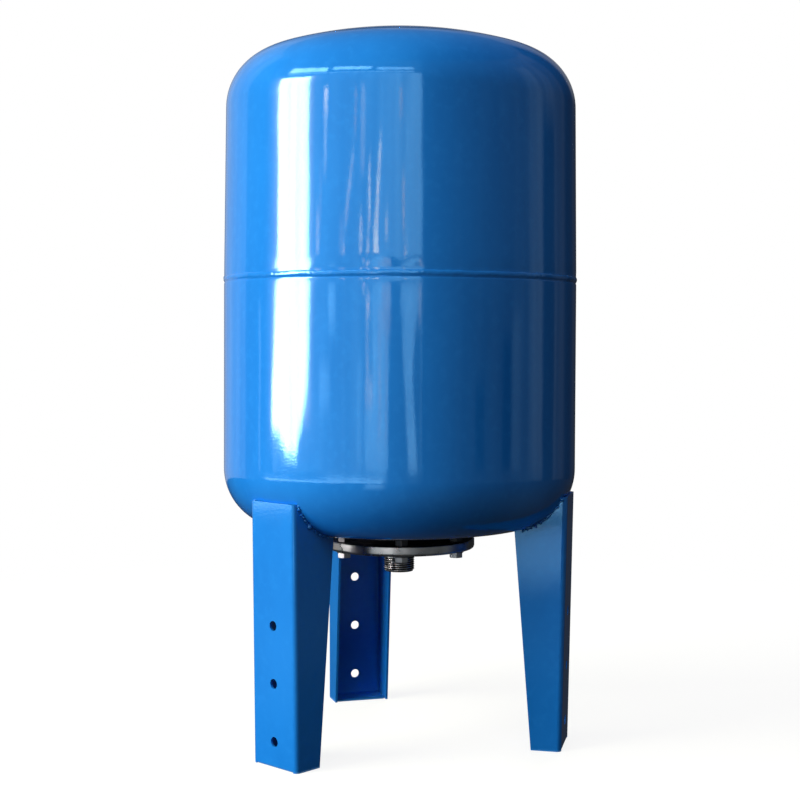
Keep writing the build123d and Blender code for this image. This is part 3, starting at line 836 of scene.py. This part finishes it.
CAMERA_AZIMUTH = -47.0
CAMERA_DISTANCE = 1.5917
CAMERA_HEIGHT = 0.4245
CAMERA_PITCH = 0.441
CAMERA_ROLL = 0.24
CAMERA_LENS = 65.92
CAMERA_SHIFT = -0.087
SHEET_DISTANCE = 1.9
SHEET_FOOT = -0.3
SHEET_TOP = 2.6
FLOOR_RINGS = (0.001, 0.2, 0.3, 0.4, 0.6, 0.9, 1.3, 1.7, 1.96)
FLECKS_PER_METRE = 42.0
FLECK_STRETCH = (1, 1, 2.2)
WORLD_FILL = 0.06
FLOOR_BOUNCE = 0.06
FLOOR_GREY = 0.2
FLOOR_GLOW = 0.85
FLOOR_NEAR = 0.45
FLOOR_FAR = 1.3
FRONT_HALF = 95
OPEN_FLOOR_FROM = 0.38
STRIPE_LEFT = -20
STRIPE_RIGHT = -9
STRIPE_FROM = 1.2
STRIPE_LIGHT = 1.6
KEY_TINT = (1.0, 1.0, 0.67)
LOW_TINT = (0.85, 0.9, 1.0)


def towards(azimuth_from_camera):
    """Unit vector on the floor, so many degrees to the camera's right of the line to the camera."""
    angle = radians(CAMERA_AZIMUTH + azimuth_from_camera)
    return Vector((cos(angle), sin(angle), 0))


def camera_turn():
    """The camera's turn: it faces the tank's axis, pitched and rolled a little."""
    pitch = radians(CAMERA_PITCH)
    roll = radians(CAMERA_ROLL)
    back = towards(0)
    forward = Vector((-back.x * cos(pitch), -back.y * cos(pitch), sin(pitch)))
    level = Vector((-back.y, back.x, 0))
    upwards = level.cross(forward)
    right = level * cos(roll) + upwards * sin(roll)
    up = upwards * cos(roll) - level * sin(roll)
    return Matrix((right, up, -forward)).transposed().to_4x4()


def make_camera():
    data = bpy.data.cameras.new("camera")
    data.lens = CAMERA_LENS
    data.sensor_width = 36
    data.shift_y = CAMERA_SHIFT
    camera = bpy.data.objects.new("camera", data)
    bpy.context.scene.collection.objects.link(camera)
    place = towards(0) * CAMERA_DISTANCE + Vector((0, 0, CAMERA_HEIGHT))
    camera.matrix_world = Matrix.Translation(place) @ camera_turn()
    bpy.context.scene.camera = camera


def add_lamp(name, azimuth, distance, height, width, tall, power, tint=(1, 1, 1), aim=0.4):
    """A soft panel that lights the object but doesn't show in its gloss."""
    data = bpy.data.lights.new(name, "AREA")
    data.shape = "RECTANGLE"
    data.size = width
    data.size_y = tall
    data.energy = power
    data.color = tint
    lamp = bpy.data.objects.new(name, data)
    bpy.context.scene.collection.objects.link(lamp)
    lamp.location = towards(azimuth) * distance + Vector((0, 0, height))
    to_object = Vector((0, 0, aim)) - lamp.location
    lamp.rotation_euler = to_object.to_track_quat("-Z", "Y").to_euler()
    lamp.visible_glossy = False
    lamp.visible_camera = False


def patch_light(base, patches, azimuth, height):
    """Colour of light at a place on a sheet, each soft edged patch laid over those before it.

    The fourth value says how broken the light is there.
    """
    light = Vector((base, base, base, 0))
    for low, high, foot, top, colour, side, end, broken in patches:
        if not low - end < height < high + end:
            continue
        up = min(1.0, max(0.0, (height - low) / (high - low)))
        start = foot[0] + (top[0] - foot[0]) * up
        stop = foot[1] + (top[1] - foot[1]) * up
        if not start - side < azimuth < stop + side:
            continue
        cover = fade(azimuth - start, side) * fade(stop - azimuth, side)
        cover *= fade(height - low, end) * fade(high - height, end)
        light += (Vector((*colour, broken)) - light) * cover
    return light


def upright(start, stop, low, high, strength, side=1.0, end=0.03, broken=0.0, warm=0.0):
    """A patch with upright sides, by azimuths in degrees and heights in metres."""
    return slanted(low, high, (start, stop), (start, stop), strength, side, end, broken, warm)


def slanted(low, high, foot, top, strength, side=1.0, end=0.03, broken=0.0, warm=0.0):
    """A patch whose sides run from the azimuths at its foot to those at its top."""
    colour = (strength, strength * (1 - 0.58 * warm), strength * (1 - 0.78 * warm))
    return low, high, foot, top, colour, side, end, broken


def bare_material(name):
    """A material with nothing in it but its output."""
    material = bpy.data.materials.new(name)
    material.use_nodes = True
    tree = material.node_tree
    tree.nodes.remove(tree.nodes["Principled BSDF"])
    return material, tree


def sheet_material():
    """Light as painted on the sheet, flecked where the paint says it is broken."""
    material, tree = bare_material("light_sheet")
    nodes = tree.nodes
    links = tree.links
    glow = nodes.new("ShaderNodeAttribute")
    glow.attribute_name = "glow"
    coordinates = nodes.new("ShaderNodeTexCoord")
    mapping = nodes.new("ShaderNodeMapping")
    mapping.inputs["Scale"].default_value = FLECK_STRETCH
    flecks = nodes.new("ShaderNodeTexNoise")
    flecks.inputs["Scale"].default_value = FLECKS_PER_METRE
    flecks.inputs["Detail"].default_value = 2.0
    links.new(coordinates.outputs["Object"], mapping.inputs["Vector"])
    links.new(mapping.outputs["Vector"], flecks.inputs["Vector"])
    gaps = remap(tree, flecks.outputs["Fac"], 0.42, 0.56, 1.0, 0.0)
    loss = calculate(tree, "MULTIPLY", gaps, glow.outputs["Alpha"])
    kept = calculate(tree, "SUBTRACT", 1.0, loss)
    light = nodes.new("ShaderNodeEmission")
    links.new(glow.outputs["Color"], light.inputs["Color"])
    links.new(kept, light.inputs["Strength"])
    links.new(light.outputs[0], nodes["Material Output"].inputs[0])
    material.cycles.emission_sampling = "NONE"
    return material


def hang_sheet(name, bm, material):
    """Makes a sheet of light that shows only in the object's gloss."""
    mesh = bpy.data.meshes.new(name)
    bm.to_mesh(mesh)
    bm.free()
    mesh.materials.append(material)
    sheet = bpy.data.objects.new(name, mesh)
    bpy.context.scene.collection.objects.link(sheet)
    sheet.visible_camera = False
    sheet.visible_diffuse = False
    sheet.visible_transmission = False
    sheet.visible_shadow = False


def camera_azimuth(spot, start):
    """How many degrees a place lies to the camera's right, counted up from start."""
    turn = degrees(atan2(spot.y, spot.x)) - CAMERA_AZIMUTH - start
    return start + (turn + 0.01) % 360 - 0.01


def uneven(azimuth, height, per_degree, per_metre, layer):
    """A smooth random value between -1 and 1 at a place on a sheet."""
    return noise.noise(Vector((azimuth * per_degree, layer, height * per_metre)))


def add_wall_sheet(name, start, stop, columns, rows, base, patches, material):
    """A sheet curved round the object, lit by patches with slightly wavy sides and upright pleats."""
    bm = bmesh.new()
    glow = bm.verts.layers.float_color.new("glow")
    foot = towards(start) * SHEET_DISTANCE
    rise = (SHEET_TOP - SHEET_FOOT) / rows
    column = [bm.verts.new((foot.x, foot.y, SHEET_FOOT + rise * k)) for k in range(rows + 1)]
    for lower, upper in zip(column, column[1:]):
        bm.edges.new((lower, upper))
    bmesh.ops.spin(
        bm,
        geom=bm.verts[:] + bm.edges[:],
        cent=(0, 0, 0),
        axis=(0, 0, 1),
        angle=radians(stop - start),
        steps=columns,
    )
    for vert in bm.verts:
        azimuth = camera_azimuth(vert.co, start)
        height = vert.co.z
        sway = 0.35 * uneven(azimuth, height, 0.05, 12, 0)
        sway += 0.2 * uneven(azimuth, height, 0.2, 40, 5)
        pleat = 1 + 0.3 * uneven(azimuth, height, 0.3, 1.3, 9)
        light = patch_light(base, patches, azimuth + sway, height)
        vert[glow] = (light.x * pleat, light.y * pleat, light.z * pleat, light.w)
    hang_sheet(name, bm, material)


def floor_light(azimuth, reach):
    """Light from the floor, by direction and by distance from the tank's axis."""
    dark = 0.03
    pale = 0.22 - 0.12 * fade(azimuth - 15, 90)
    front = fade(azimuth + FRONT_HALF, 50) * fade(FRONT_HALF - azimuth, 50)
    open_floor = fade(reach - OPEN_FLOOR_FROM, 0.4)
    stripe = fade(azimuth - STRIPE_LEFT, 3) * fade(STRIPE_RIGHT - azimuth, 3)
    stripe *= fade(reach - STRIPE_FROM, 0.3)
    return dark + (pale - dark) * front * open_floor + STRIPE_LIGHT * stripe


def add_floor_sheet(material):
    """What the gloss shows of the floor: pale in front with one bright stripe, dark elsewhere."""
    bm = bmesh.new()
    glow = bm.verts.layers.float_color.new("glow")
    spots = [bm.verts.new((r, 0, 0.0015)) for r in FLOOR_RINGS]
    for inner, outer in zip(spots, spots[1:]):
        bm.edges.new((inner, outer))
    bmesh.ops.spin(
        bm,
        geom=bm.verts[:] + bm.edges[:],
        cent=(0, 0, 0),
        axis=(0, 0, 1),
        angle=2 * pi,
        steps=180,
        use_merge=True,
    )
    for vert in bm.verts:
        light = floor_light(camera_azimuth(vert.co, -180), vert.co.length)
        vert[glow] = (light, light, light, 0)
    hang_sheet("floor_sheet", bm, material)


def add_ceiling_sheet(material):
    """Light from overhead, brighter on the camera's left."""
    bm = bmesh.new()
    bmesh.ops.create_grid(bm, x_segments=16, y_segments=16, size=2.4)
    bmesh.ops.translate(bm, vec=(0, 0, SHEET_TOP), verts=bm.verts)
    glow = bm.verts.layers.float_color.new("glow")
    right = towards(90)
    for vert in bm.verts:
        light = 0.24 - 0.16 * fade(vert.co.dot(right), 3.0)
        vert[glow] = (light, light, light, 0)
    hang_sheet("ceiling_sheet", bm, material)


def white_when_seen(tree):
    """1 for rays from the camera, from gloss or through glass, and 0 for the light that falls on things."""
    path = tree.nodes.new("ShaderNodeLightPath").outputs
    seen = calculate(tree, "MAXIMUM", path["Is Camera Ray"], path["Is Glossy Ray"])
    return calculate(tree, "MAXIMUM", seen, path["Is Transmission Ray"])


def floor_material():
    """Pale and matt near the object, where its shadow falls, and plain white further out."""
    material, tree = bare_material("floor")
    nodes = tree.nodes
    links = tree.links
    seen = white_when_seen(tree)
    matt = nodes.new("ShaderNodeBsdfDiffuse")
    links.new(remap(tree, seen, 0, 1, FLOOR_BOUNCE, FLOOR_GREY), matt.inputs["Color"])
    glow = nodes.new("ShaderNodeEmission")
    links.new(calculate(tree, "MULTIPLY", seen, FLOOR_GLOW), glow.inputs["Strength"])
    near = nodes.new("ShaderNodeAddShader")
    links.new(matt.outputs[0], near.inputs[0])
    links.new(glow.outputs[0], near.inputs[1])
    white = nodes.new("ShaderNodeEmission")
    links.new(seen, white.inputs["Strength"])
    reach = vector_length(tree, nodes.new("ShaderNodeTexCoord").outputs["Object"])
    spread = nodes.new("ShaderNodeMapRange")
    spread.interpolation_type = "SMOOTHSTEP"
    spread.inputs["From Min"].default_value = FLOOR_NEAR
    spread.inputs["From Max"].default_value = FLOOR_FAR
    links.new(reach, spread.inputs["Value"])
    blend = nodes.new("ShaderNodeMixShader")
    links.new(spread.outputs["Result"], blend.inputs[0])
    links.new(near.outputs[0], blend.inputs[1])
    links.new(white.outputs[0], blend.inputs[2])
    links.new(blend.outputs[0], nodes["Material Output"].inputs[0])
    return material


def make_floor():
    """A pale floor that keeps the object's shadow and runs out into the white background."""
    bm = bmesh.new()
    bmesh.ops.create_grid(bm, x_segments=4, y_segments=4, size=6.0)
    mesh = bpy.data.meshes.new("floor")
    bm.to_mesh(mesh)
    bm.free()
    mesh.materials.append(floor_material())
    floor = bpy.data.objects.new("floor", mesh)
    bpy.context.scene.collection.objects.link(floor)


def make_world():
    """White to the camera and in gloss, and a weak fill on the object."""
    world = bpy.data.worlds.new("studio")
    bpy.context.scene.world = world
    world.use_nodes = True
    tree = world.node_tree
    background = tree.nodes["Background"]
    background.inputs["Color"].default_value = (1, 1, 1, 1)
    level = remap(tree, white_when_seen(tree), 0, 1, WORLD_FILL, 1.0)
    tree.links.new(level, background.inputs["Strength"])


# Light for the gloss on the camera's left: azimuths, heights in metres and strength of each
# patch, first the tall bright panel, then the thin broken streaks beside it
BRIGHT_SIDE = [
    upright(-112, -92, -0.3, 2.6, 0.17, side=4),
    upright(-84, 12.5, 0.109, 1.45, 1.15, side=1.2, end=0.014),
    upright(-12, 12.5, 0.109, 1.45, 1.8, side=12, end=0.014),
    upright(-7.5, 12.5, 0, 0.575, 0.3, end=0.02),
    slanted(0.0, 0.074, (-88, -36), (-92, -30), 3.6, side=8, end=0.03),
    slanted(0.03, 0.096, (-42, -10), (-46, -8), 3.2, side=6, end=0.025),
    upright(-86, -51, 0.19, 1.42, 1.9, side=10, end=0.12, warm=0.5),
    slanted(0.24, 0.6, (-86, -56), (-82.5, -53.5), 7, side=5, end=0.05, warm=1),
    upright(-82, -55.2, 0.57, 1.38, 7, side=5, end=0.05, warm=1),
    slanted(0.31, 0.58, (-84, -57.5), (-80.5, -55.5), 34, side=3.5, end=0.05, warm=0.25),
    slanted(0.225, 0.33, (-84.5, -61.5), (-84, -57.5), 34, side=3.5, warm=0.25),
    slanted(0.165, 0.245, (-72, -65), (-84.5, -61.5), 34, side=4, warm=0.25),
    upright(-80, -57.5, 0.57, 1.36, 34, side=3, end=0.05, warm=0.25),
    upright(-78, -49, 1.62, 1.9, 9, side=2, end=0.1),
    upright(-45, -19, 1.72, 1.95, 7.5, side=2, end=0.08, broken=0.4),
    upright(-15, 8, 1.66, 1.86, 4.5, side=3, end=0.08, broken=0.5),
    upright(-78, 8, 1.5, 1.56, 3.8, side=2, end=0.04, broken=0.3),
    upright(-47.4, -44.8, 0.939, 1.007, 27.3, broken=0.85, warm=1),
    upright(-47, -45.2, 0.813, 0.949, 7.7, broken=0.6, warm=0.8),
    upright(-49.4, -48.2, 0.696, 0.842, 4.2, broken=0.6, warm=0.8),
    upright(-51.6, -49.8, 0.618, 0.725, 12.4, side=0.9, broken=0.85, warm=1),
    upright(-27.8, -26.6, 0.9, 1.002, 8.1, side=0.8, broken=0.85, warm=1),
    slanted(0.706, 0.842, (-33.4, -32), (-29, -27.9), 14, side=0.9, broken=0.85, warm=1),
    upright(-35.4, -33.4, 0.618, 0.648, 29.8, side=0.8, end=0.012, broken=0.85, warm=1),
    upright(-36.5, -34, 0.618, 0.706, 4.9, side=1.5, broken=0.6, warm=0.8),
    upright(-23.8, -21.4, 0.813, 1.017, 6.3, side=1.2, broken=0.6, warm=0.8),
    upright(-24.1, -22.7, 0.618, 0.706, 19, side=0.9, end=0.02, broken=0.85, warm=1),
    upright(-18.8, -17.9, 0.696, 0.827, 19, side=0.8, broken=0.85, warm=1),
    upright(-19.8, -18.4, 0.609, 0.662, 16.1, side=0.8, end=0.02, broken=0.85, warm=1),
    slanted(0.677, 0.876, (-15.4, -13.1), (-12.2, -11.3), 20, side=0.8, broken=0.85, warm=1),
    slanted(0.618, 0.686, (-16, -12.4), (-15.4, -13.1), 22, side=0.9, broken=0.5, warm=1),
    upright(-8.6, -7.2, 0.677, 0.706, 16.1, side=0.8, end=0.02, broken=0.85, warm=1),
    upright(1, 6, 0.609, 0.997, 2.38, side=1.5, broken=0.3),
    upright(-0.7, 0.7, 0.934, 1.002, 8.7, side=0.8, broken=0.85, warm=1),
    upright(1.2, 2.4, 0.686, 0.798, 11.2, side=0.8, broken=0.85, warm=1),
    upright(2, 3.2, 0.618, 0.64, 21.1, side=0.8, end=0.012, broken=0.85, warm=1),
    upright(6, 12, 0.584, 1.415, 2.12),
    upright(-43.2, -38.8, 0.444, 0.542, 3.23, side=1.8, end=0.06),
    upright(-49.4, -42.5, 0.27, 0.357, 2.55, side=2, end=0.06),
    upright(-22.4, -21, 0.532, 0.548, 24.8, side=0.8, end=0.01, broken=0.85, warm=1),
    upright(-20.2, -18.6, 0.289, 0.522, 5.6, side=0.8, broken=0.6, warm=0.8),
    upright(-19.4, -18, 0.474, 0.503, 23.6, side=0.8, end=0.02, broken=0.85, warm=1),
    upright(-20.2, -15.4, 0.26, 0.328, 6.3, side=1.2, broken=0.6, warm=0.8),
    upright(-16.2, -6.8, 0.143, 0.547, 2.89, side=1.2, broken=0.4),
    upright(-10.6, -5.6, 0.435, 0.542, 5.2, side=1.2, end=0.05, broken=0.6, warm=0.8),
    upright(-12.6, -11.4, 0.192, 0.483, 4.5, side=0.8, broken=0.6, warm=0.8),
    upright(-15.4, -14.6, 0.153, 0.435, 4.1, side=0.8, broken=0.6),
    upright(-8.6, -7.6, 0.192, 0.483, 4.2, side=0.8, broken=0.6, warm=0.8),
    upright(-20.2, -13.6, 0.138, 0.27, 2.89, side=1.2, broken=0.4),
    upright(-25, -22, 0.143, 0.367, 2.12, side=1.2, broken=0.3),
    upright(0.2, 10.8, 0.483, 0.548, 3.23, broken=0.5),
    slanted(0.328, 0.493, (2.2, 7.2), (0.8, 10.4), 2.89, broken=0.5),
    slanted(0.124, 0.338, (5.4, 11), (2.6, 7.2), 2.55, broken=0.4),
    upright(10.8, 12.4, 0.459, 0.542, 5.6, side=0.8, broken=0.6, warm=0.8),
    upright(-97, -95.5, 0.11, 0.5, 1.02),
]

# And on its right and behind the object: dim, with darker and paler uprights
DIM_SIDE = [
    upright(86, 98.5, 0.11, 2.0, 0.3, side=3, end=0.2),
    upright(99, 112, -0.3, 0.95, 0.03, side=3, end=0.1),
    upright(113, 132, -0.3, 2.2, 0.07, side=8, end=0.5),
    upright(127, 147, -0.3, 2.6, 0.015, side=8, end=0.3),
    upright(46, 51.5, 0.115, 0.34, 0.02, side=2),
    upright(64.7, 71, 0.115, 0.42, 0.02, side=2),
    upright(72, 78, 0.12, 0.46, 0.3, side=3),
    upright(142, 220, -0.3, 1.1, 0.03, side=12, end=0.3),
    upright(150, 210, 1.1, 2.6, 0.22, side=12, end=0.3),
    upright(160, 196, 1.45, 1.65, 0.03, side=16, end=0.1),
    upright(200, 255, -0.3, 2.6, 0.42, side=14),
]


def make_lamps():
    add_lamp(
        "key", azimuth=-68, distance=2.3, height=1.35, width=1.5, tall=1.9, power=84, tint=KEY_TINT
    )
    add_lamp(
        "low",
        azimuth=-66,
        distance=1.5,
        height=0.2,
        width=0.9,
        tall=0.3,
        power=11,
        tint=LOW_TINT,
        aim=0.26,
    )
    add_lamp("sky", azimuth=-40, distance=1.2, height=2.6, width=1.8, tall=1.8, power=23)
    add_lamp("front", azimuth=8, distance=2.4, height=2.1, width=1.2, tall=1.2, power=14)
    add_lamp("back", azimuth=165, distance=2.3, height=1.5, width=1.6, tall=1.6, power=30)


def make_sheets():
    glow = sheet_material()
    add_wall_sheet(
        "window_sheet",
        start=-112,
        stop=13,
        columns=313,
        rows=145,
        base=0.3,
        patches=BRIGHT_SIDE,
        material=glow,
    )
    add_wall_sheet(
        "room_sheet",
        start=13,
        stop=248,
        columns=235,
        rows=58,
        base=0.16,
        patches=DIM_SIDE,
        material=glow,
    )
    add_floor_sheet(glow)
    add_ceiling_sheet(glow)


def make_studio():
    bpy.context.scene.view_settings.view_transform = "Standard"
    make_world()
    make_floor()
    make_lamps()
    make_sheets()


# The part

tank_paint = enamel("tank_enamel")
leg_paint = enamel("leg_enamel", peel_mm=2.4, peel_depth=0.02, wave_depth=0.08)
bead_paint = enamel("bead_enamel", peel_mm=2.0, peel_depth=0.02, wave_depth=0.0, pits=0.01)
# Flat black as painted shade for the neck, its weld and the clamp ring
shade_black_paint = painted_shade_black()
zinc = zinc_plate("zinc_plate", (0.44, 0.48, 0.5), (0.33, 0.36, 0.38), 0.24, 0.36)
# Painted shade: a much darker copy of the zinc for the nuts and washers, which sit in shade above the
# flange
shade_darkened_zinc = zinc_plate("shade_darkened_zinc", (0.08, 0.085, 0.09), (0.045, 0.05, 0.055), 0.3, 0.45)
steel = turned_steel()
rubber = black_rubber()
brass = valve_brass()
plastic = cap_plastic()

make_camera()
make_studio()
make_upper_cup(tank_paint)
make_lower_cup(tank_paint, shade_black_paint)
make_girth_bead(bead_paint)
make_legs(leg_paint)
make_leg_beads(bead_paint)
make_water_nipple(steel)
make_nipple_bead(zinc)
make_boss_bead(bead_paint)
make_closing_spring(steel)

# Piece, CAD node, body, slot, finish, and width of the rounded edges in metres
COPIES = [
    ("pressed_flange", "bottom_flange", "tank", "zinc", zinc, 0.0007),
    ("hex_bolts", "flange_bolts", "tank", "zinc", zinc, 0.00025),
    # Washers and nuts take the darker zinc as painted shade
    ("plain_washers", "flange_washers", "tank", "zinc", shade_darkened_zinc, 0.0002),
    ("hex_nuts", "flange_nuts", "tank", "zinc", shade_darkened_zinc, 0.00025),
    # The clamp ring is blue enamel and takes the flat black as painted shade
    ("clamp_ring", "neck_ring", "tank", "blue_enamel", shade_black_paint, 0.0005),
    ("valve_base", "valve_boss", "tank", "blue_enamel", leg_paint, 0.0004),
    ("base_gasket", "valve_gasket", "tank", "black_rubber", rubber, 0.00015),
    ("valve_body", "valve_stem", "tank", "valve_brass", brass, 0.0002),
    ("dust_cap", "valve_cap", "cap", "cap_plastic", plastic, 0.0002),
]
for copy in COPIES:
    finish_copy(*copy)

# CAD nodes that stay as they are, with their finish
KEPT = {
    # The neck weld takes the flat black as painted shade
    "neck_weld": shade_black_paint,
    "bladder": rubber,
    "core_body": brass,
    "core_seal": rubber,
    "valve_pin": steel,
    "pin_seal": rubber,
    "cap_seal": rubber,
}
for node, finish in KEPT.items():
    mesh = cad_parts[node].data
    mesh.materials.clear()
    mesh.materials.append(finish)
